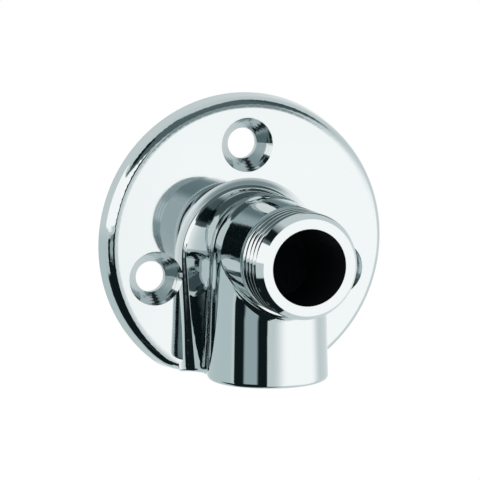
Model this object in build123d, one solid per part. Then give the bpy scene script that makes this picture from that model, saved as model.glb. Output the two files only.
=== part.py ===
from build123d import *
from math import cos, hypot, radians, sin, sqrt, tan
import os

# Chrome-plated brass wall plate elbow: one casting, turned, bored, drilled and polished.
# Millimetres. X is to the right, +Y goes into the wall, +Z is up.
# The origin is the middle of the plate on its back face, on the outlet's axis.

# Wall plate: a round disc with a slightly crowned front, a drafted, rounded edge and a lower flat
plate_diameter = 60.0
plate_thickness = 4.2           # at the middle of the left and right edges, before the rounding
plate_crown = 0.4               # how much further the front stands out over the crown's middle
edge_draft = 0.9                # radius lost between the back and the front of the edge
edge_rounding = 2.4
lower_end_drop = 25.5           # outlet axis to the level lower end of plate and column
flat_corner_rounding = 8.0      # where the lower flat runs out into the round edge

# Countersunk screw holes: one above the outlet and a mirror pair beside it
screw_hole_diameter = 6.2
countersink_diameter = 10.9     # where it meets the crown
countersink_angle = 75.0
top_hole_rise = 19.9
pair_spacing = 39.1
pair_drop = 6.2

# Outlet: a nose turned down for a G 1/2 male thread, with the waterway through it
thread_major_diameter = 20.955
thread_length = 9.0
thread_clear_of_column = 1.9    # column's front to the shoulder behind the thread
nose_lead_in = 1.2              # axial length of the chamfer on the first thread
nose_lead_in_depth = 0.78       # and how far it takes the nose's face below the crests
outlet_bore_diameter = 15.0

# Neck and web: both grow out of the plate through a hollow root, drawn as three arcs in a row:
# a slow rise from the plate, a tight turn and a slow run-out along the side.
# The root is turned about an axis below the outlet's own: slight above the neck, full beside it.
thread_shoulder = 0.42          # how far the neck stands proud of the thread
root_axis_drop = 2.2
root_arcs = (10.0, 1.4, 15.0)   # radii beside the neck
foot_arcs = (4.0, 3.2, 3.8)     # and at the lower end of the web
turn_start = 14.0               # how steep the root is where the turn starts and ends, in degrees
turn_end = 57.0
root_sunk = 0.05                # below the plate's front, so that the two meet at a clean edge

# Inlet column: drafted, closed by a round knuckle where the two axes cross
column_axis_from_wall = 16.0
column_proud_of_neck = 1.2      # at the column's lower end, each side
column_draft = 1.8              # degrees
column_blend = 1.8              # hollow rounding where neck and web run into the column
lower_edge_rounding = 0.9

# Inlet: a socket bored to the minor diameter of a G 1/2 female thread, then the waterway
socket_diameter = 18.631
socket_depth = 15.0
socket_lead_in = 1.0
inlet_bore_diameter = 16.0
drill_point_angle = 118.0       # left at the blind end of every drilled hole

plate_radius = plate_diameter / 2
thread_major_radius = thread_major_diameter / 2
nose_face_radius = thread_major_radius - nose_lead_in_depth
neck_radius = thread_major_radius + thread_shoulder
column_end_radius = neck_radius + column_proud_of_neck
socket_radius = socket_diameter / 2
inlet_bore_radius = inlet_bore_diameter / 2
outlet_bore_radius = outlet_bore_diameter / 2
neck_end = column_axis_from_wall + column_end_radius + thread_clear_of_column
outlet_reach = neck_end + thread_length
screw_hole_places = [
    (0, top_hole_rise),
    (-pair_spacing / 2, -pair_drop),
    (pair_spacing / 2, -pair_drop),
]

# The column's side is tangent to the knuckle, so the draft sets the knuckle's radius
draft = radians(column_draft)
knuckle_radius = column_end_radius * cos(draft) - lower_end_drop * sin(draft)

# The front of the plate is a ball's surface whose highest point is on the root's axis
plate_front = plate_thickness + plate_crown
buried = plate_thickness / 2    # where the neck and the web start, inside the plate

column_axis = Axis((0, -column_axis_from_wall, 0), (0, 0, 1))
column_plane = Plane.XZ.offset(column_axis_from_wall)
root_axis = Axis((0, 0, -root_axis_drop), (0, 1, 0))


def crown_level(reach):
    return plate_front - plate_crown * (reach / plate_radius) ** 2


def draw_root(arcs, below_axis):
    # half of a level section: under the plate's front, then up the root to the web's side
    steepness = [0, radians(turn_start), radians(turn_end), radians(90)]
    x = neck_radius + sum(
        radius * (sin(last) - sin(first)) for radius, first, last in zip(arcs, steepness, steepness[1:])
    )
    y = crown_level(hypot(x, below_axis)) - root_sunk
    Polyline((0, -buried), (x, -buried), (x, -y))
    for radius, first, last in zip(arcs, steepness, steepness[1:]):
        end = (x - radius * (sin(last) - sin(first)), y + radius * (cos(first) - cos(last)))
        RadiusArc((x, -y), (end[0], -end[1]), -radius)
        x, y = end
    return y


def wall_plate():
    with BuildPart() as plate:
        with BuildSketch():
            with BuildLine():
                Polyline(
                    (0, 0),
                    (plate_radius, 0),
                    (plate_radius - edge_draft, -plate_thickness),
                    (plate_radius - edge_draft * plate_front / plate_thickness, -plate_front),
                    (0, -plate_front),
                    close=True,
                )
            make_face()
        revolve(axis=Axis.Y)
        split(bisect_by=Plane.XY.offset(-lower_end_drop), keep=Keep.TOP)
        flat_ends = plate.faces().sort_by(Axis.Z)[0].edges().sort_by(Axis.X)
        fillet([flat_ends[0], flat_ends[-1]], flat_corner_rounding)
        add(crown(), mode=Mode.INTERSECT)
        fillet(plate.faces().sort_by(Axis.Y)[0].edges(), edge_rounding)
    return plate.part


def crown():
    reach = plate_diameter
    with BuildPart() as ball:
        with BuildSketch(Plane.XY.offset(-root_axis_drop)):
            with BuildLine():
                Polyline((0, -plate_front), (0, 0), (reach, 0), (reach, -crown_level(reach)))
                Bezier((reach, -crown_level(reach)), (reach / 2, -plate_front), (0, -plate_front))
            make_face()
        revolve(axis=root_axis)
    return ball.part


def screw_hole(x, z):
    level = crown_level(hypot(x, z + root_axis_drop))
    slope = tan(radians(countersink_angle / 2))
    hole = screw_hole_diameter / 2
    mouth = countersink_diameter / 2
    past_front = plate_thickness / 4
    with BuildPart() as cutter:
        with BuildSketch(Plane.XY.offset(z)):
            with BuildLine():
                Polyline(
                    (x, plate_thickness),
                    (x + hole, plate_thickness),
                    (x + hole, (mouth - hole) / slope - level),
                    (x + mouth + past_front * slope, -level - past_front),
                    (x + mouth + past_front * slope, -level - 2 * past_front),
                    (x, -level - 2 * past_front),
                    close=True,
                )
            make_face()
        revolve(axis=Axis((x, 0, z), (0, 1, 0)))
    return cutter.part


def neck_and_nose():
    with BuildPart() as neck:
        with BuildSketch():
            with BuildLine():
                Polyline(
                    (0, -buried),
                    (neck_radius, -buried),
                    (neck_radius, -neck_end),
                    (thread_major_radius, -neck_end),
                    (thread_major_radius, -outlet_reach + nose_lead_in),
                    (nose_face_radius, -outlet_reach),
                    (0, -outlet_reach),
                    close=True,
                )
            make_face()
        revolve(axis=Axis.Y)
    return neck.part


def web():
    with BuildPart() as wall:
        for drop, arcs in ((root_axis_drop, root_arcs), (lower_end_drop, foot_arcs)):
            with BuildSketch(Plane.XY.offset(-drop)):
                with BuildLine():
                    hollow_end = draw_root(arcs, drop - root_axis_drop)
                    Polyline(
                        (neck_radius, -hollow_end),
                        (neck_radius, -column_axis_from_wall),
                        (0, -column_axis_from_wall),
                        (0, -buried),
                    )
                make_face()
        loft(ruled=True)
        with BuildSketch(Plane.XY):
            with BuildLine():
                Polyline(
                    (0, -buried),
                    (neck_radius, -buried),
                    (neck_radius, -column_axis_from_wall),
                    (0, -column_axis_from_wall),
                    close=True,
                )
            make_face()
        extrude(amount=-root_axis_drop)
        mirror(about=Plane.YZ)
    return wall.part


def root():
    with BuildPart() as arch:
        with BuildSketch(Plane.XY.offset(-root_axis_drop)):
            with BuildLine():
                hollow_end = draw_root(root_arcs, 0)
                Polyline((neck_radius, -hollow_end), (0, -hollow_end), (0, -buried))
            make_face()
        revolve(axis=root_axis)
        split(bisect_by=Plane.XY.offset(-root_axis_drop), keep=Keep.TOP)
    return arch.part


def column():
    side_top = (knuckle_radius * cos(draft), knuckle_radius * sin(draft))
    with BuildPart() as inlet:
        with BuildSketch(column_plane):
            with BuildLine():
                Polyline(
                    (0, knuckle_radius),
                    (0, -lower_end_drop),
                    (column_end_radius, -lower_end_drop),
                    side_top,
                )
                RadiusArc(side_top, (0, knuckle_radius), -knuckle_radius)
            make_face()
        revolve(axis=column_axis)
    return inlet.part


def drill_point(radius):
    return radius / tan(radians(drill_point_angle / 2))


def inlet_bore():
    socket_top = socket_depth - lower_end_drop
    with BuildPart() as bore:
        with BuildSketch(column_plane):
            with BuildLine():
                Polyline(
                    (0, -lower_end_drop),
                    (socket_radius + socket_lead_in, -lower_end_drop),
                    (socket_radius, -lower_end_drop + socket_lead_in),
                    (socket_radius, socket_top),
                    (inlet_bore_radius, socket_top + drill_point(socket_radius - inlet_bore_radius)),
                    (inlet_bore_radius, 0),
                    (0, drill_point(inlet_bore_radius)),
                    close=True,
                )
            make_face()
        revolve(axis=column_axis)
    return bore.part


def outlet_bore():
    with BuildPart() as bore:
        with BuildSketch():
            with BuildLine():
                Polyline(
                    (0, -outlet_reach),
                    (outlet_bore_radius, -outlet_reach),
                    (outlet_bore_radius, -column_axis_from_wall),
                    (0, drill_point(outlet_bore_radius) - column_axis_from_wall),
                    close=True,
                )
            make_face()
        revolve(axis=Axis.Y)
    return bore.part


foot = neck_and_nose() + web() + root()
inlet_column = column()
body = foot + inlet_column
body = fillet(new_edges(foot, inlet_column, combined=body), column_blend)

lower_face = body.faces().sort_by(Axis.Z)[0]
body = fillet(
    lower_face.edges().filter_by(lambda edge: edge.center().Y < -buried - 0.01),
    lower_edge_rounding,
)

elbow = wall_plate() + body - inlet_bore() - outlet_bore()
for x, z in screw_hole_places:
    elbow -= screw_hole(x, z)

os.makedirs("parts", exist_ok=True)
export_step(elbow, "parts/wall_plate_elbow.step")
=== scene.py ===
from math import atan, cos, pi, radians, sin

import bmesh
import bpy
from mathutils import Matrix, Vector


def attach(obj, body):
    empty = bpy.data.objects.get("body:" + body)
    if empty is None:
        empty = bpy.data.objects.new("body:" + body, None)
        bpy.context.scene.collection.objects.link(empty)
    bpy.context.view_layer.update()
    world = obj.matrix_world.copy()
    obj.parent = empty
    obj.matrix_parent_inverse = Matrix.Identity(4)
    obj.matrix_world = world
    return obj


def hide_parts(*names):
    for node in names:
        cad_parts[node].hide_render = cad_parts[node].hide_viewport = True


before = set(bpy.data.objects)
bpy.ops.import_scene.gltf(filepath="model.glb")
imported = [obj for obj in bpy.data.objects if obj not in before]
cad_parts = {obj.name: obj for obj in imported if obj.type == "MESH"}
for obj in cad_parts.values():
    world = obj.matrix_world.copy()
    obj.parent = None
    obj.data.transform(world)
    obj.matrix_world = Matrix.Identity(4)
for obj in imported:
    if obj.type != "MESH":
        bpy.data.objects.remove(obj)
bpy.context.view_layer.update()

MM = 0.001

# Outlet thread, G 1/2: the solid carries a plain cylinder here, and this script cuts the thread
THREAD = {
    "Crest radius": 10.4775 * MM,
    "Root radius": 9.3155 * MM,
    "Pitch": 1.814 * MM,
    "Shoulder": 29.9975 * MM,        # from the wall
    "Nose face": 38.9975 * MM,       # from the wall
    "Face radius": 9.4 * MM,
    "Lead-in": 1.6 * MM,             # length of the chamfer behind the face
    "First groove": 2.75 * MM,       # from the face, at the top
    "Bare end": 1.0 * MM,            # from the face to where the groove starts to show
    "Full depth": 1.8 * MM,          # and to where it is cut to its full depth
    "Run-out": 1.0 * MM,             # from the shoulder to where it is cut to its full depth
}
THREAD_GRID = {"Points around": 193, "Rows along": 181}

# How a flat grid, 1 by 1, becomes the thread: each value's name, how it is worked out, and from what.
# "around" and "along" are a point's place on the grid, and names with a capital are the sizes above.
THREAD_RULE = [
    ("turn", "ADD", "around", 0.5),
    ("angle", "MULTIPLY", "turn", -2 * pi),
    ("length", "SUBTRACT", "Nose face", "Shoulder"),
    ("share of length", "ADD", "along", 0.5),
    ("from shoulder", "MULTIPLY", "share of length", "length"),
    ("from face", "SUBTRACT", "length", "from shoulder"),
    # a rounded ridge once a pitch, moving one pitch along for each turn
    ("from first groove", "SUBTRACT", "from face", "First groove"),
    ("pitches", "DIVIDE", "from first groove", "Pitch"),
    ("pitches and turns", "ADD", "pitches", "turn"),
    ("step", "FRACT", "pitches and turns"),
    ("step doubled", "MULTIPLY", "step", 2.0),
    ("step about crest", "SUBTRACT", "step doubled", 1.0),
    ("away from crest", "ABSOLUTE", "step about crest"),
    ("ramp", "SUBTRACT", 1.0, "away from crest"),
    ("ridge", "SMOOTHSTEP", "ramp", 0.05, 0.95),
    ("groove", "SUBTRACT", 1.0, "ridge"),
    # the groove fades out at both ends
    ("shown by shoulder", "SMOOTHSTEP", "from shoulder", 0.0, "Run-out"),
    ("shown by face", "SMOOTHSTEP", "from face", "Bare end", "Full depth"),
    ("shown", "MULTIPLY", "shown by shoulder", "shown by face"),
    ("deepest", "SUBTRACT", "Crest radius", "Root radius"),
    ("depth", "MULTIPLY", "deepest", "shown"),
    ("cut", "MULTIPLY", "depth", "groove"),
    ("cut radius", "SUBTRACT", "Crest radius", "cut"),
    # the lead-in chamfer takes off what stands above it
    ("chamfer height", "SUBTRACT", "Crest radius", "Face radius"),
    ("chamfer slope", "DIVIDE", "chamfer height", "Lead-in"),
    ("chamfer rise", "MULTIPLY", "from face", "chamfer slope"),
    ("chamfer radius", "ADD", "Face radius", "chamfer rise"),
    ("radius", "MINIMUM", "cut radius", "chamfer radius"),
    # and the grid is rolled up
    ("sine", "SINE", "angle"),
    ("cosine", "COSINE", "angle"),
    ("from wall", "ADD", "Shoulder", "from shoulder"),
    ("x", "MULTIPLY", "radius", "sine"),
    ("y", "MULTIPLY", "from wall", -1.0),
    ("z", "MULTIPLY", "radius", "cosine"),
]

# Waterways: the outlet's bore, and the inlet's above its socket
BORE_RADIUS = 7.5 * MM
BORE_MOUTH = 38.98 * MM              # from the wall, just inside the nose's face
BORE_END = 11.0 * MM                 # from the wall, just past the drill point
INLET_RADIUS = 8.0 * MM
INLET_FROM_WALL = 16.0 * MM
INLET_TOP = 6.0 * MM                 # above the outlet's axis, just past the drill point
SOCKET_TOP = -10.4 * MM

# Screw holes: across and up from the outlet's axis
SCREW_HOLES = [(0, 19.9 * MM), (-19.55 * MM, -6.2 * MM), (19.55 * MM, -6.2 * MM)]
COUNTERSINK_RADIUS = 5.5 * MM
COUNTERSINK_MOUTH = 4.35 * MM        # from the wall, just under the plate's front

# Mesh
SAME_POINT = 0.0005 * MM
SAME_FACE = 0.01 * MM
SAME_RIM = 0.1 * MM
BORE_MARGIN = 0.05 * MM
SHARP_EDGE = radians(28)
CHROME, WATERWAY, TURNED = range(3)  # the casting's material slots

# The Wave node at scale 1 repeats after this length
WAVE_LENGTH = 2 * pi / 20

# The photograph's camera: left of the outlet and a little above it, aimed at the plate's middle
CAMERA_LEFT = 19.95
CAMERA_UP = 8.38
CAMERA_DISTANCE = 0.654
FRAME_PIXELS = 480
FOCAL_PIXELS = 3235.0

# Studio: panels on a ball round the fitting, each hung in front of the ones before it.
# Edges in degrees as the fitting sees them: left, right, low, high, and how soft each edge is.
# A right edge that leans is given at the low and at the high end. Then colour and strength.
FLOOR_DROP = 1.5
FLOOR_REACH = 12.0
PANEL_DISTANCE = 1.2
PANEL_GAP = 0.01
PANEL_STEPS = 12
PANEL_FADE = [(0.0, 0.0), (0.25, 0.16), (0.5, 0.5), (0.75, 0.84), (1.0, 1.0)]
PANELS = [
    ("wall_left", -180, (-92, -92), -70, -2, 8, "#E8F0F0", 1.0),
    ("flag_low_left", -122, (-84, -84), -76, -21, 3, "#182224", 1.0),
    ("flag_low", -150, (20, 20), -86, -57, 4, "#182224", 1.0),
    ("softbox_right", 4, (84, 84), -48, 9, 26, "#FFF3F1", 1.84),
    ("screen_high", -92, (75, 75), 29, 75, 9, "#6E7A7C", 1.0),
    ("flag_high_right", 42, (74, 74), 33, 64, 8, "#566264", 1.0),
    ("flag_high_left", -96, (-60, -60), 38, 57, 5, "#182224", 1.0),
    ("strip_left", -132, (-28, -28), 2, 32, 2, "#FFF3F1", 1.84),
    ("screen_front", -6, (34, 34), 9, 29, 9, "#A6B2B4", 1.0),
    ("flag_left", -86, (-20.5, -20.5), -58, -2, 2, "#182224", 1.0),
    ("flag_window", -65, (-39, -39), -12, -3, 5, "#C4D0D2", 1.0),
    ("flag_front", -29, (-21.5, -20), -5, 8, 1, "#182224", 1.0),
    ("flag_front_high", -29, (-20, -12), 7.5, 25, 1, "#182224", 1.0),
]


def linear(hex_colour):
    """An sRGB hex colour as linear RGBA."""
    channels = [int(hex_colour[i:i + 2], 16) / 255 for i in (1, 3, 5)]
    return tuple(c / 12.92 if c <= 0.04045 else ((c + 0.055) / 1.055) ** 2.4 for c in channels) + (1.0,)


def add_node(tree, kind, settings=None, inputs=None):
    """Adds one node. Its inputs go by name or number, and each takes a value or another node's output."""
    node = tree.nodes.new(kind)
    for name, value in (settings or {}).items():
        setattr(node, name, value)
    for socket, value in (inputs or {}).items():
        if isinstance(value, bpy.types.NodeSocket):
            tree.links.new(value, node.inputs[socket])
        else:
            node.inputs[socket].default_value = value
    return node


def new_material(name):
    """A material with an empty tree."""
    material = bpy.data.materials.new(name)
    material.use_nodes = True
    material.node_tree.nodes.clear()
    return material


def chrome_plate():
    """Bright chrome over polished cast brass: a cool mirror, with the slow ripple that hand
    buffing leaves in its reflections and a faint haze of polishing lines."""
    ripple_width, ripple_height = 9 * MM, 0.02 * MM
    haze_width = 2.5 * MM
    material = new_material("chrome_plate_polished")
    tree = material.node_tree
    place = add_node(tree, "ShaderNodeTexCoord").outputs["Object"]
    buffing = add_node(tree, "ShaderNodeTexNoise", inputs={
        "Vector": place, "Scale": 1 / ripple_width, "Detail": 1.0, "Roughness": 0.4,
    })
    haze = add_node(tree, "ShaderNodeTexNoise", inputs={
        "Vector": place, "Scale": 1 / haze_width, "Detail": 3.0, "Roughness": 0.6,
    })
    roughness = add_node(tree, "ShaderNodeMapRange", inputs={
        "Value": haze.outputs["Fac"], "To Min": 0.02, "To Max": 0.06,
    })
    ripple = add_node(tree, "ShaderNodeBump", inputs={
        "Height": buffing.outputs["Fac"], "Strength": 1.0, "Distance": ripple_height,
    })
    chrome = add_node(tree, "ShaderNodeBsdfPrincipled", inputs={
        "Base Color": linear("#B8C5C7"), "Metallic": 1.0,
        "Roughness": roughness.outputs["Result"], "Normal": ripple.outputs["Normal"],
    })
    add_node(tree, "ShaderNodeOutputMaterial", inputs={"Surface": chrome.outputs["BSDF"]})
    return material


def chrome_over_turning():
    """Chrome over countersinks that were turned and not buffed: the tool's rings show through it,
    and what the metal mirrors is drawn out into soft streaks."""
    ring_spacing, ring_height = 0.7 * MM, 0.005 * MM
    material = new_material("chrome_plate_over_turning")
    tree = material.node_tree
    place = add_node(tree, "ShaderNodeTexCoord").outputs["Object"]
    rings = add_node(tree, "ShaderNodeTexWave", {"wave_type": "BANDS", "bands_direction": "Y"}, {
        "Vector": place, "Scale": WAVE_LENGTH / ring_spacing, "Distortion": 0.3, "Detail": 2.0,
    })
    ridges = add_node(tree, "ShaderNodeBump", inputs={
        "Height": rings.outputs["Fac"], "Strength": 1.0, "Distance": ring_height,
    })
    chrome = add_node(tree, "ShaderNodeBsdfPrincipled", inputs={
        "Base Color": linear("#B0BDBF"), "Metallic": 1.0, "Roughness": 0.09,
        "Normal": ridges.outputs["Normal"],
    })
    add_node(tree, "ShaderNodeOutputMaterial", inputs={"Surface": chrome.outputs["BSDF"]})
    return material


def waterway_painted_shade():
    """Brass in the drilled waterways, where the plating doesn't reach: painted shade for the deep bores,
    an almost black, dull skin that hides the metal's shine, with drill rings."""
    ring_spacing, ring_height = 0.9 * MM, 0.05 * MM
    material = new_material("waterway_brass_painted_shade")
    tree = material.node_tree
    place = add_node(tree, "ShaderNodeTexCoord").outputs["Object"]
    rings = add_node(tree, "ShaderNodeTexWave", {"wave_type": "BANDS", "bands_direction": "Y"}, {
        "Vector": place, "Scale": WAVE_LENGTH / ring_spacing, "Distortion": 0.6, "Detail": 2.0,
    })
    ridges = add_node(tree, "ShaderNodeBump", inputs={
        "Height": rings.outputs["Fac"], "Strength": 0.4, "Distance": ring_height,
    })
    # painted shade: the almost black colour and the low shine stand in for the shade deep in the bores
    brass = add_node(tree, "ShaderNodeBsdfPrincipled", inputs={
        "Base Color": linear("#14191C"), "Metallic": 0.0, "Roughness": 0.6, "Specular IOR Level": 0.05,
        "Normal": ridges.outputs["Normal"],
    })
    add_node(tree, "ShaderNodeOutputMaterial", inputs={"Surface": brass.outputs["BSDF"]})
    return material


def thread_tree():
    """The turned outlet: a grid rolled round the nose, its radius following the thread's rule."""
    tree = bpy.data.node_groups.new("outlet_thread", "GeometryNodeTree")
    for name in THREAD:
        tree.interface.new_socket(name, in_out="INPUT", socket_type="NodeSocketFloat")
    for name in THREAD_GRID:
        tree.interface.new_socket(name, in_out="INPUT", socket_type="NodeSocketInt")
    tree.interface.new_socket("Material", in_out="INPUT", socket_type="NodeSocketMaterial")
    tree.interface.new_socket("Geometry", in_out="OUTPUT", socket_type="NodeSocketGeometry")
    size = add_node(tree, "NodeGroupInput").outputs

    grid = add_node(tree, "GeometryNodeMeshGrid", inputs={
        "Size X": 1.0, "Size Y": 1.0,
        "Vertices X": size["Points around"], "Vertices Y": size["Rows along"],
    })
    position = add_node(tree, "GeometryNodeInputPosition")
    flat = add_node(tree, "ShaderNodeSeparateXYZ", inputs={"Vector": position.outputs["Position"]})
    known = {name: size[name] for name in THREAD}
    known["around"] = flat.outputs["X"]
    known["along"] = flat.outputs["Y"]
    for name, work, *terms in THREAD_RULE:
        inputs = {i: known[term] if isinstance(term, str) else term for i, term in enumerate(terms)}
        if work == "SMOOTHSTEP":
            worked_out = add_node(tree, "ShaderNodeMapRange", {"interpolation_type": work}, inputs)
        else:
            worked_out = add_node(tree, "ShaderNodeMath", {"operation": work}, inputs)
        known[name] = worked_out.outputs[0]

    place = add_node(tree, "ShaderNodeCombineXYZ", inputs={
        "X": known["x"], "Y": known["y"], "Z": known["z"],
    })
    rolled = add_node(tree, "GeometryNodeSetPosition", inputs={
        "Geometry": grid.outputs["Mesh"], "Position": place.outputs["Vector"],
    })
    closed = add_node(tree, "GeometryNodeMergeByDistance", inputs={
        "Geometry": rolled.outputs["Geometry"], "Distance": 0.001 * MM,
    })
    real = add_node(tree, "GeometryNodeRealizeInstances", inputs={"Geometry": closed.outputs["Geometry"]})
    finished = add_node(tree, "GeometryNodeSetMaterial", inputs={
        "Geometry": real.outputs["Geometry"], "Material": size["Material"],
    })
    add_node(tree, "NodeGroupOutput", inputs={"Geometry": finished.outputs["Geometry"]})
    return tree


def thread_mesh(material):
    """The thread as a plain mesh."""
    carrier = bpy.data.objects.new("thread_carrier", bpy.data.meshes.new("thread_carrier"))
    bpy.context.collection.objects.link(carrier)
    tree = thread_tree()
    modifier = carrier.modifiers.new("thread", "NODES")
    modifier.node_group = tree
    sockets = {item.name: item.identifier for item in tree.interface.items_tree if item.in_out == "INPUT"}
    for name, value in {**THREAD, **THREAD_GRID, "Material": material}.items():
        modifier[sockets[name]] = value
    mesh = bpy.data.meshes.new_from_object(carrier.evaluated_get(bpy.context.evaluated_depsgraph_get()))
    bpy.data.objects.remove(carrier)
    return mesh


def elbow(node, finishes):
    """The casting with its outlet thread cut: the solid's own surface, less the plain nose."""
    surface = node.data.copy()
    exact = surface.attributes.new("exact_normal", "FLOAT_VECTOR", "CORNER")
    for corner, normal in zip(exact.data, surface.corner_normals):
        corner.vector = normal.vector

    bm = bmesh.new()
    bm.from_mesh(surface)
    bmesh.ops.remove_doubles(bm, verts=bm.verts, dist=SAME_POINT)

    # The plain nose goes, from the end of the neck to the edge of the bore
    nose = []
    for face in bm.faces:
        middle = face.calc_center_median()
        from_axis = Vector((middle.x, middle.z)).length
        if middle.y < -THREAD["Shoulder"] + SAME_FACE and from_axis > BORE_RADIUS + BORE_MARGIN:
            nose.append(face)
    bmesh.ops.delete(bm, geom=nose, context="FACES")

    # The thread takes its place, and two flat rings close it: the nose's face and the shoulder
    bm.from_mesh(thread_mesh(finishes[CHROME]))
    rims = [edge for edge in bm.edges if edge.is_boundary]
    for from_wall in (THREAD["Nose face"], THREAD["Shoulder"]):
        ring = [edge for edge in rims if abs(edge.verts[0].co.y + from_wall) < SAME_RIM]
        bmesh.ops.triangle_fill(bm, edges=ring, normal=(0, -1, 0))

    for face in bm.faces:
        face.smooth = True
        middle = face.calc_center_median()
        # the bores' faces take the brass painted almost black, as painted shade
        if is_waterway(middle):
            face.material_index = WATERWAY
        elif is_countersink(middle):
            face.material_index = TURNED
        else:
            face.material_index = CHROME
    for edge in bm.edges:
        if len(edge.link_faces) == 2:
            edge.smooth = edge.calc_face_angle() < SHARP_EDGE
    mesh = bpy.data.meshes.new("elbow_casting")
    bm.to_mesh(mesh)
    bm.free()

    # Corners that came from the solid keep the solid's exact normals. The thread's have none, length 0.
    own = mesh.attributes["exact_normal"].data
    normals = [
        kept.vector if kept.vector.length > 0.5 else corner.vector
        for kept, corner in zip(own, mesh.corner_normals)
    ]
    mesh.normals_split_custom_set(normals)
    mesh.attributes.remove(mesh.attributes["exact_normal"])

    for finish in finishes:
        mesh.materials.append(finish)
    return mesh


def is_countersink(point):
    """On the cone or the wall of a screw hole."""
    in_plate = -COUNTERSINK_MOUTH < point.y < -SAME_FACE
    return in_plate and any(
        Vector((point.x - x, point.z - z)).length < COUNTERSINK_RADIUS for x, z in SCREW_HOLES
    )


def is_waterway(point):
    """In the outlet's bore past its face, or in the inlet's bore above the socket."""
    from_outlet_axis = Vector((point.x, point.z)).length
    from_inlet_axis = Vector((point.x, point.y + INLET_FROM_WALL)).length
    in_outlet = from_outlet_axis < BORE_RADIUS + BORE_MARGIN and -BORE_MOUTH < point.y < -BORE_END
    in_inlet = from_inlet_axis < INLET_RADIUS + BORE_MARGIN and SOCKET_TOP < point.z < INLET_TOP
    return in_outlet or in_inlet


def panel(order, name, left, right, low, high, soft, colour, strength):
    """One studio panel, which shows only in reflections and fades out along its edges."""
    material = new_material(name)
    tree = material.node_tree
    cover = add_node(tree, "ShaderNodeAttribute", {"attribute_name": "cover"})
    clear = add_node(tree, "ShaderNodeBsdfTransparent")
    glow = add_node(tree, "ShaderNodeEmission", inputs={"Color": linear(colour), "Strength": strength})
    edge = add_node(tree, "ShaderNodeMixShader", inputs={
        "Fac": cover.outputs["Fac"], 1: clear.outputs["BSDF"], 2: glow.outputs["Emission"],
    })
    add_node(tree, "ShaderNodeOutputMaterial", inputs={"Surface": edge.outputs["Shader"]})

    distance = PANEL_DISTANCE - PANEL_GAP * order
    points, covers, faces = [], [], []
    rises = fading_steps(low, high, soft)
    lowest, highest = rises[0][0], rises[-1][0]
    row = len(rises)
    for i in range(len(fading_steps(left, right[0], soft))):
        for j, (rise, cover_up) in enumerate(rises):
            share = (rise - lowest) / (highest - lowest)
            right_here = right[0] + (right[1] - right[0]) * share
            turn, cover_along = fading_steps(left, right_here, soft)[i]
            points.append((
                distance * sin(radians(turn)) * cos(radians(rise)),
                -distance * cos(radians(turn)) * cos(radians(rise)),
                distance * sin(radians(rise)),
            ))
            covers.append(cover_up * cover_along)
            if i and j:
                here = row * i + j
                faces.append((here - row - 1, here - row, here, here - 1))
    mesh = bpy.data.meshes.new(name)
    mesh.from_pydata(points, [], faces)
    mesh.attributes.new("cover", "FLOAT", "POINT").data.foreach_set("value", covers)
    mesh.materials.append(material)
    board = bpy.data.objects.new(name, mesh)
    bpy.context.collection.objects.link(board)
    board.visible_camera = False
    board.visible_diffuse = False
    board.visible_shadow = False


def fading_steps(first, last, soft):
    """Angles from edge to edge, and how much the panel covers at each: nothing at the edge, all inside."""
    inner_first, inner_last = first + soft / 2, last - soft / 2
    inner_step = (inner_last - inner_first) / PANEL_STEPS
    steps = [(first - soft / 2 + soft * share, cover) for share, cover in PANEL_FADE]
    steps += [(inner_first + inner_step * i, 1.0) for i in range(1, PANEL_STEPS)]
    steps += [(last + soft / 2 - soft * share, cover) for share, cover in reversed(PANEL_FADE)]
    return steps


def floor():
    """A plain white sweep, well below the fitting, that takes its shadow."""
    material = new_material("floor_white")
    tree = material.node_tree
    paint = add_node(tree, "ShaderNodeBsdfDiffuse", inputs={"Color": linear("#F4F4F4")})
    lift = add_node(tree, "ShaderNodeEmission", inputs={"Color": linear("#FFFFFF"), "Strength": 0.1})
    both = add_node(tree, "ShaderNodeAddShader", inputs={
        0: paint.outputs["BSDF"], 1: lift.outputs["Emission"],
    })
    add_node(tree, "ShaderNodeOutputMaterial", inputs={"Surface": both.outputs["Shader"]})
    mesh = bpy.data.meshes.new("floor")
    corners = [(-1, -1), (1, -1), (1, 1), (-1, 1)]
    mesh.from_pydata(
        [(x * FLOOR_REACH, y * FLOOR_REACH, -FLOOR_DROP) for x, y in corners],
        [], [(0, 1, 2, 3)],
    )
    mesh.materials.append(material)
    sweep = bpy.data.objects.new("floor", mesh)
    bpy.context.collection.objects.link(sweep)


def studio():
    """A white room with the floor and the panels in it."""
    world = bpy.data.worlds.new("studio")
    bpy.context.scene.world = world
    world.use_nodes = True
    tree = world.node_tree
    tree.nodes.clear()
    glow = add_node(tree, "ShaderNodeBackground", inputs={"Color": linear("#FFFFFF"), "Strength": 1.0})
    add_node(tree, "ShaderNodeOutputWorld", inputs={"Surface": glow.outputs["Background"]})
    floor()
    for order, edges_and_light in enumerate(PANELS):
        panel(order, *edges_and_light)


def camera():
    """The photograph's camera."""
    eye = CAMERA_DISTANCE * Vector((
        -sin(radians(CAMERA_LEFT)) * cos(radians(CAMERA_UP)),
        -cos(radians(CAMERA_LEFT)) * cos(radians(CAMERA_UP)),
        sin(radians(CAMERA_UP)),
    ))
    lens = bpy.data.cameras.new("camera")
    lens.angle = 2 * atan(FRAME_PIXELS / 2 / FOCAL_PIXELS)
    lens.clip_start = 0.01
    viewer = bpy.data.objects.new("camera", lens)
    viewer.location = eye
    viewer.rotation_euler = (-eye).to_track_quat("-Z", "Y").to_euler()
    bpy.context.collection.objects.link(viewer)
    bpy.context.scene.camera = viewer


casting = bpy.data.objects.new(
    "elbow_casting",
    elbow(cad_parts["wall_plate_elbow"], [chrome_plate(), waterway_painted_shade(), chrome_over_turning()]),
)
bpy.context.collection.objects.link(casting)
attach(casting, "root")
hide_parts("wall_plate_elbow")

studio()
camera()
bpy.context.scene.view_settings.view_transform = "Standard"
